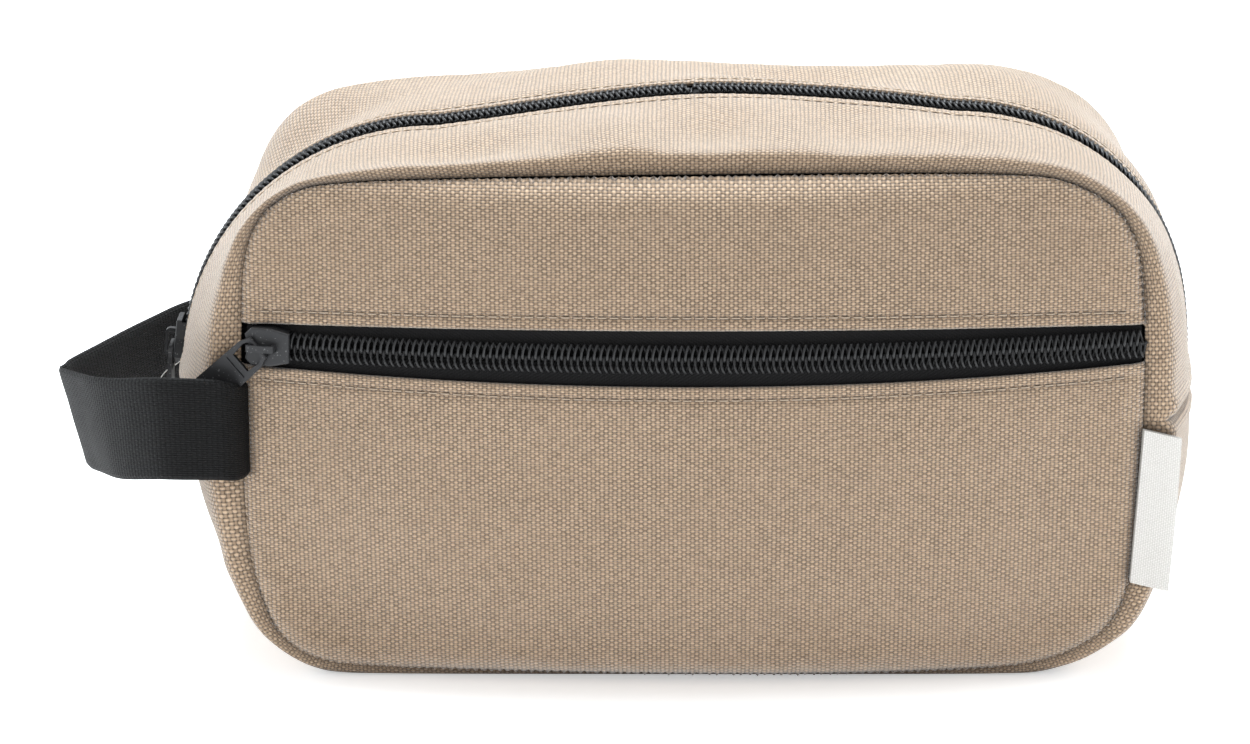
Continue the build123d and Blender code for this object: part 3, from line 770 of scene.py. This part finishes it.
def coil(curve, start, end, side, up):
    """One half of a zip's coil: a flattened helix whose loops lie across the tape."""
    turns, steps = int((end - start) / PITCH), 14
    theta = np.linspace(0, turns * 2 * math.pi, turns * steps + 1)
    part = np.mod(theta / (2 * math.pi), 1)
    lead = np.where(part < 0.5, 0.5 * smooth(part, 0.2, 0.5), 0.5 + 0.5 * smooth(part, 0.5, 0.85))
    along = start + PITCH * (np.floor(theta / (2 * math.pi) + 1e-9) + lead + COIL_SHIFT[side])
    across_zip = side * ((COIL_IN + COIL_OUT) / 2 - (COIL_OUT - COIL_IN) / 2 * np.cos(theta))
    path = curve(along, COIL_INSET - COIL_RISE * np.sin(theta), across_zip)
    head = 1 + 0.5 * gauss(across_zip * side, COIL_IN + 0.2, 0.5)
    return tube(path, WIRE * head, 6, up)


def front_along(along, inset, across_zip):
    return front_curve(along, inset, ZIP_Z + across_zip)


def tape_points(curve, start, end, side, inset, edge, count):
    """A tape's grid of points and its cloth coordinates, by rows from the zip's middle to the edge."""
    along = np.linspace(start, end, count)
    rows = TAPE_ROWS + [edge]
    points = [curve(along, inset + 0.12 * math.sin(r * 1.7), np.full(count, side * r)) for r in rows]
    return np.array(points), np.stack(np.meshgrid(along, np.array(rows) * side), -1)


for name, side in (("upper", 1), ("lower", -1)):
    points, uv = tape_points(front_along, -FRONT_ZIP_END, FRONT_ZIP_END, side, 1.45, 10.5, 180)
    tape = sheet(f"front_tape_{name}", points, uv, tape_cloth, TAPE)
    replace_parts(tape, f"front_zip_tape_{name}")
    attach(tape, "bag")
    turned = coil(front_along, -ZIP_REACH + 0.5, FRONT_ZIP_END, side, (0.001, 0.002, 1.0))
    wire = make_piece(f"front_coil_{name}", *turned, coil_nylon)
    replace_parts(wire, f"front_zip_coil_{name}")
    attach(wire, "bag")

for side_name, side in (("front", -1), ("back", 1)):
    for half_name, start, end in (("right", 0.0, RIGHT_RUN - 1.0), ("left", LEFT_RUN + 1.0, 0.0)):
        points, uv = tape_points(top_curve, start, end, side, 1.9, 10.0, 150)
        tape = sheet(f"top_tape_{side_name}_{half_name}", points, uv, tape_cloth, TAPE)
        turned = coil(top_curve, PITCH * math.floor(start / PITCH), end - 0.4, side, (0, 1, 0.001))
        wire = make_piece(f"top_coil_{side_name}_{half_name}", *turned, coil_nylon)
        top_pieces[side_name, half_name] += [tape, wire]


# ---- stitches along the folded edges ----
def stitches(place_at, start, end):
    """A row of lockstitches; place_at gives a point and how far out it is."""
    parts = []
    for k in range(round((end - start) / STITCH)):
        at = start + (k + np.linspace(0.16, 0.84, 7)) * STITCH
        out = 0.16 * np.sin(np.linspace(0, math.pi, 7)) - 0.22
        parts.append(tube(place_at(at, out), STITCH_R, 5))
    return join_parts(parts)


def front_stitch_row(sign):
    def place_at(x, out):
        z = ZIP_Z + sign * (slot_half(x) + STITCH_INSET)
        depth = panel_depth(x, z, FRONT_MID_Y, 11.0 + sign)
        return np.stack([x, -HALF_DEPTH - depth - out, z], -1)

    return stitches(place_at, -ZIP_REACH + 0.5, ZIP_REACH - 0.5)


for name, sign in (("upper", 1), ("lower", -1)):
    row = make_piece(f"front_stitches_{name}", *front_stitch_row(sign), beige_thread)
    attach(row, "bag")


def top_stitch_row(side, start, end):
    depth = side * (SLOT_HALF + STITCH_INSET)
    surface, normal = strip_surface(np.arange(SEAM_COUNT + 1), np.array([depth]))

    def place_at(at, out):
        at = np.mod(at, middle_total)
        out_x, out_z = points_at(at, ring_run, normal[0]).T * out
        return points_at(at, ring_run, surface[0]) + np.stack([out_x, np.zeros(len(at)), out_z], -1)

    return stitches(place_at, start, end)


for side_name, side in (("front", -1), ("back", 1)):
    for half_name, start, end in (("right", 0.0, RIGHT_RUN - 3.0), ("left", LEFT_RUN + 3.0, 0.0)):
        sewn = top_stitch_row(side, start, end)
        row = make_piece(f"top_stitches_{side_name}_{half_name}", *sewn, beige_thread)
        top_pieces[side_name, half_name].append(row)

# the mouth's pieces are kept in world space and stand in for the frame's mouth parts
for (side_name, half_name), pieces in top_pieces.items():
    for piece in pieces:
        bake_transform(piece)
    strip, tape, wire = pieces[:3]
    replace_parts(strip, f"top_gusset_{side_name}", f"top_gusset_{side_name}_ends")
    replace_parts(tape, f"top_zip_tape_{side_name}", f"top_zip_tape_{side_name}_ends")
    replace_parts(wire, f"top_zip_coil_{side_name}", f"top_zip_coil_{side_name}_ends")


# ---- the lining and the pocket's back wall ----
def tub_strip():
    """The lining under the mouth, round from one end of the bag to the other."""
    inset, half, top, floor = 4.6, 38.0, 104.0, 2.2
    index = np.arange(0, SEAM_COUNT, 4)
    rows, columns = np.meshgrid(index[middle[index, 1] < top], np.linspace(-half, half, 31))
    t = np.abs(columns) / half
    share = np.sqrt(1 - np.clip(t, 0, 1) ** 2)[..., None]
    side, stuffed = seam[rows] - seam_out[rows] * inset, middle[rows] - middle_out[rows] * inset
    flat = side * (1 - share) + stuffed * share
    slack = fbm(flat[..., 0], columns, flat[..., 1], 22.0, 51.0) * smooth(1 - t, 0.0, 0.2)
    flat = flat - middle_out[rows] * np.abs(slack)[..., None]
    strip = np.stack([flat[..., 0], columns, np.maximum(flat[..., 1], floor)], -1)
    return strip, np.stack([middle_run[rows], columns], -1)


def tub_wall(rim, side):
    """A slack wall between the two halves of a strip's rim."""
    levels = np.linspace(0, 1, 26)[:, None]
    count = len(rim) // 2
    wall = rim[::-1][:count] * (1 - levels[..., None]) + rim[:count] * levels[..., None]
    wave = 1.2 * fbm(wall[..., 0], wall[..., 1], wall[..., 2], 26.0, 61.0 + side)
    wall[..., 1] -= side * np.abs(wave) * np.sin(levels * math.pi)
    return wall


def tub():
    """The main compartment's lining, a slack tub a little inside the canvas."""
    strip, strip_cloth = tub_strip()
    parts = [(strip.reshape(-1, 3), grid_faces(*strip.shape[:2]).tolist())]
    uv = [strip_cloth.reshape(-1, 2)]
    for side, rim in ((-1, strip[0]), (1, strip[-1])):
        wall = tub_wall(rim, side)
        parts.append((wall.reshape(-1, 3), grid_faces(*wall.shape[:2], flip=side > 0).tolist()))
        uv.append(wall.reshape(-1, 3)[:, [0, 2]])
    piece = make_piece("lining_tub", *join_parts(parts), lining_cloth, np.vstack(uv))
    thicken(piece, LINING, 0)
    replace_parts(piece, "main_lining")
    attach(piece, "bag")


def pocket_back():
    """The cloth behind the front pocket, slightly slack."""
    flat = whole_patch(110, 60, (0.955, 0.93))
    low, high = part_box("pocket_wall")
    mid = (low.y + high.y) / 2 / MM
    slack = 0.9 * fbm(flat[..., 0], flat[..., 0] * 0, flat[..., 1], 30.0, 71.0)
    points = np.stack([flat[..., 0], mid - np.abs(slack), flat[..., 1]], -1)
    piece = sheet("pocket_cloth", points, flat, lining_cloth, LINING)
    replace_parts(piece, "pocket_wall")
    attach(piece, "bag")


tub()
pocket_back()

# ---- the carry loop ----
strap_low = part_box("handle_strap")[0]
STRAP_WIDE, STRAP_THICK = 25.0, 1.5
STRAP_FAR = strap_low.x / MM
STRAP_PATH = [                                           # the upper edge, from the front seam to the back
    (-104.6, -45.4, 73.6), (-105.8, -48.6, 74.2), (-107.6, -51.6, 75.4), (-112.0, -53.6, 76.8),
    (-125.0, -51.8, 76.8), (-138.0, -40.0, 73.0), (-147.5, -24.0, 69.4), (STRAP_FAR + 2.2, -12.5, 67.0),
    (STRAP_FAR + 2.4, -8.5, 66.8), (-146.0, 8.0, 66.6), (-137.0, 28.0, 66.6), (-128.0, 44.0, 66.8),
    (-119.0, 50.4, 67.6), (-110.0, 50.4, 69.4), (-106.4, 48.6, 70.5), (-104.6, 45.4, 71.0),
]
STRAP_FOLD = 0.475                                       # where the crease is, as a share of the length
STRAP_LEAN = 6.5                                         # how far the lower edge leans in at the far end
STRAP_GATHER = 3.0                                       # how much narrower it is where it is sewn in
STRAP_ROWS, STRAP_COUNT = 27, 260


def strap_face(path, run, side):
    """One face of the band as rows of points from its upper edge down; side is 1 for the outer face."""
    along = np.gradient(path[:, :2], axis=0)
    out = np.column_stack([along[:, 1], -along[:, 0]])
    out /= np.linalg.norm(out, axis=1)[:, None]
    lean = STRAP_LEAN * np.clip((-106.0 - path[:, 0]) / 48.0, 0, 1) ** 2
    wide = STRAP_WIDE - STRAP_GATHER * np.exp(-np.minimum(run, run[-1] - run) / 7.0)
    crease = 0.7 * gauss(run, run[-1] * STRAP_FOLD, 2.5)
    rows = []
    for k, down in enumerate(np.linspace(0, 1, STRAP_ROWS)):
        from_edge = min(k, STRAP_ROWS - 1 - k)
        half_thick = STRAP_THICK / 2 * math.sqrt(1 - 0.93 * max(0.0, 1 - from_edge / 1.6) ** 2)
        uneven = 0.35 * fbm(run * 0.3, run * 0 + k * 0.4, run * 0, 6.0, 81.0)
        shift = (side * half_thick + crease + uneven)[:, None] * out
        rows.append(np.column_stack([path[:, 0] + shift[:, 0] + down * lean, path[:, 1] + shift[:, 1],
                                     path[:, 2] - down * wide]))
    return rows


def strap():
    """A band of webbing on edge. Its lower edge leans in at the far end, where it is creased."""
    path, length = open_curve(STRAP_PATH, STRAP_COUNT)
    run = np.linspace(0, length, STRAP_COUNT)
    rows = strap_face(path, run, 1) + strap_face(path, run, -1)[::-1]
    points = np.array(rows).transpose(1, 0, 2)
    loop = len(rows)
    quads = grid_faces(STRAP_COUNT, loop, wrap=True).tolist()
    quads += [list(range(loop))[::-1], list(range((STRAP_COUNT - 1) * loop, STRAP_COUNT * loop))]
    down = np.linspace(0, STRAP_WIDE, STRAP_ROWS)
    uv = np.stack(np.meshgrid(run, np.concatenate([down, down[::-1]]), indexing="ij"), -1)
    piece = make_piece("carry_strap", points.reshape(-1, 3), quads, webbing, uv.reshape(-1, 2))
    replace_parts(piece, "handle_strap", "handle_strap_ends")
    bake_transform(piece)


strap()


# ---- the label: a strip folded in half, its two ends sewn into the right front seam ----
LABEL_LONG = 9                                           # from the seam to the fold, over the cloth


def label():
    """Two layers from the seam to the fold; s runs from one sewn end, over the fold at 0, to the other."""
    low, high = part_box("side_label")
    reach, tall = (high.x - low.x) / MM, (high.z - low.z) / MM
    up, s = np.linspace(0, 1, 40)[:, None], np.linspace(-1, 1, 34)
    from_fold = 1 - np.abs(s)
    gap = 0.15 + 0.55 * np.sqrt(np.clip(1 - from_fold**8, 0, 1))
    along = from_fold * (reach - 0.6 + 0.5 * np.sin(up * 3.0))
    side = np.sign(s) * gap + 0.9 * (along / reach) ** 2 * np.sin(up * 2.4 + 0.4)
    bend = np.radians(6 + 5 * up)
    root = low.x / MM - 3.6 + 2.2 * up
    x = root + along * np.cos(bend) - side * np.sin(bend)
    y = low.y / MM + 1.2 + along * np.sin(bend) + side * np.cos(bend)
    z = low.z / MM - 0.3 + up * (tall + 0.8) - 0.3 * along
    uv = np.stack(np.meshgrid(s * LABEL_LONG, up[:, 0] * tall), -1)
    piece = sheet("folded_label", np.stack([x, y, z], -1), uv, label_cloth, LABEL)
    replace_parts(piece, "side_label")
    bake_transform(piece)


label()


# ---- loose threads by the loop's two ends ----
THREADS = {
    "thread_back": [(-118.5, 28, 66), (-121, 29, 68), (-122.8, 30, 72), (-121.5, 31, 75.5), (-119, 31, 77)],
    "thread_curl": [(-119, 20, 62.5), (-124, 18, 61.5), (-128, 16, 59), (-131, 15, 57), (-133, 14, 53.5),
                    (-132, 13, 51)],
}


def threads():
    for name, points in THREADS.items():
        path, _ = open_curve(points, 60)
        piece = make_piece(name, *tube(path, THREAD_R, 5), white_thread)
        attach(piece, "bag")


threads()


# ---- the room, the light and the camera ----
def studio():
    """A pale floor and world, with one soft light above, one in front and one at each side."""
    floor_mesh = bpy.data.meshes.new("floor")
    floor_mesh.from_pydata([(-4, -3, 0), (4, -3, 0), (4, 4, 0), (-4, 4, 0)], [], [(0, 1, 2, 3)])
    floor = bpy.data.objects.new("floor", floor_mesh)
    bpy.context.scene.collection.objects.link(floor)
    paint = Nodes("floor_paint")
    glow = {"Emission_Color": (1, 1, 1, 1), "Emission_Strength": 0.42}
    floor_mesh.materials.append(paint.finish((0.9, 0.9, 0.9, 1), 0.9, **glow))
    world = bpy.data.worlds.new("studio")
    world.use_nodes = True
    tree = world.node_tree
    seen = tree.nodes.new("ShaderNodeLightPath")
    strength = tree.nodes.new("ShaderNodeMapRange")
    strength.inputs["To Min"].default_value = 0.56
    strength.inputs["To Max"].default_value = 1.0
    tree.links.new(seen.outputs["Is Camera Ray"], strength.inputs["Value"])
    tree.links.new(strength.outputs["Result"], tree.nodes["Background"].inputs[1])
    tree.nodes["Background"].inputs[0].default_value = (1, 1, 1, 1)
    bpy.context.scene.world = world
    cool, plain = (0.90, 0.955, 1.0), (1.0, 1.0, 1.0)
    lights = [                                           # place, aim, size, power, tint
        ("top_soft", (0.05, 0.30, 0.90), (0, 0.05, 0.08), 0.8, 19.0, cool),
        ("front_soft", (-0.35, -1.2, 0.65), (0, 0, 0.06), 0.8, 2.4, plain),
        ("left_soft", (-1.0, 0.25, 0.45), (0, 0, 0.06), 0.6, 5.5, cool),
        ("right_soft", (1.0, 0.25, 0.45), (0, 0, 0.06), 0.6, 5.5, cool),
    ]
    for name, place, aim, size, power, tint in lights:
        data = bpy.data.lights.new(name, "AREA")
        data.energy, data.size, data.color = power, size, tint
        lamp = bpy.data.objects.new(name, data)
        lamp.location = place
        lamp.rotation_mode = "QUATERNION"
        lamp.rotation_quaternion = (Vector(aim) - Vector(place)).to_track_quat("-Z", "Y")
        bpy.context.scene.collection.objects.link(lamp)


def camera():
    """From the front, 17.5 degrees up, about a metre from the front, with the bag right of the middle."""
    data = bpy.data.cameras.new("camera")
    focal, middle_right, middle_down = 3.626, 0.0557, 0.0037    # in image widths
    data.sensor_width = 36.0
    data.lens = data.sensor_width * focal
    data.shift_x, data.shift_y = -middle_right, middle_down
    lens_to_aim, up, aim_height = 1.043, math.radians(17.5), 0.0793
    aim = Vector((0, FRONT_MID_Y * MM, aim_height))
    holder = bpy.data.objects.new("camera", data)
    back = Vector((0, -math.cos(up), math.sin(up)))
    holder.location = aim + back * lens_to_aim
    holder.rotation_mode = "QUATERNION"
    holder.rotation_quaternion = (-back).to_track_quat("-Z", "Y")
    bpy.context.scene.collection.objects.link(holder)
    bpy.context.scene.camera = holder


studio()
camera()
bpy.context.scene.view_settings.view_transform = "Standard"
